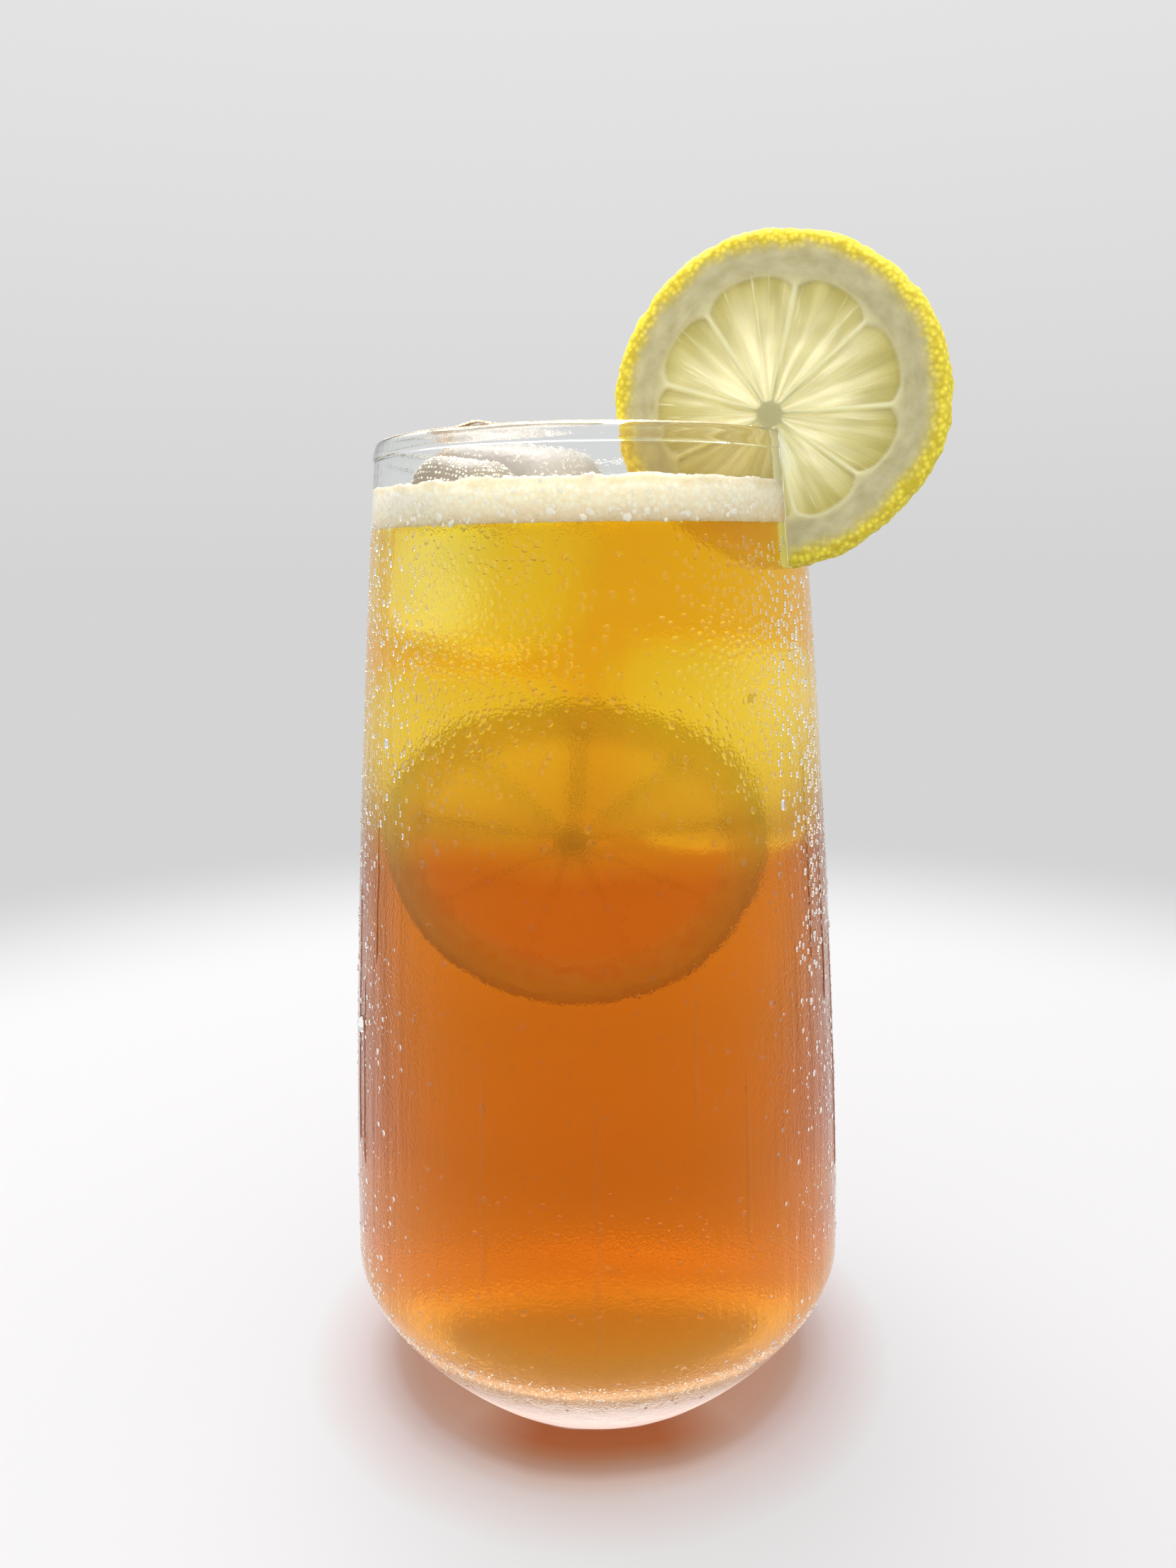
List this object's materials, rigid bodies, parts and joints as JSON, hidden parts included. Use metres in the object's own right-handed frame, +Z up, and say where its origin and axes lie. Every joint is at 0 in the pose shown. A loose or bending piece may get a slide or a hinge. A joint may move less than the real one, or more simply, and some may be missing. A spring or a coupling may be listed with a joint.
{
  "type": "glass of lemon iced tea",
  "caption": "Tall tumbler of lemon iced tea with froth, floating ice and a lemon wheel slid over the rim.",
  "frame": {"origin": "centre of the flat foot of the glass, on the glass's axis", "axes": "+Z up along the glass's axis; +X towards the side where the lemon wheel sits; the picture looks along +Y"},
  "size_m": [0.0898, 0.0806, 0.1765],
  "materials": {
    "glass": "clear glass, misted and beaded with water outside",
    "tea": "clear amber tea, yellower near the top",
    "foam": "fine cream froth with small bubbles",
    "ice": "cloudy wet ice with melted edges",
    "lemon": "bright yellow rind, pale pith, moist translucent flesh"
  },
  "bodies": {
    "root": {"glass": "glass", "tea": "tea", "foam": "foam", "ice_large": "ice", "ice_small": "ice", "lemon_wheel": "lemon"}
  },
  "joints": []
}
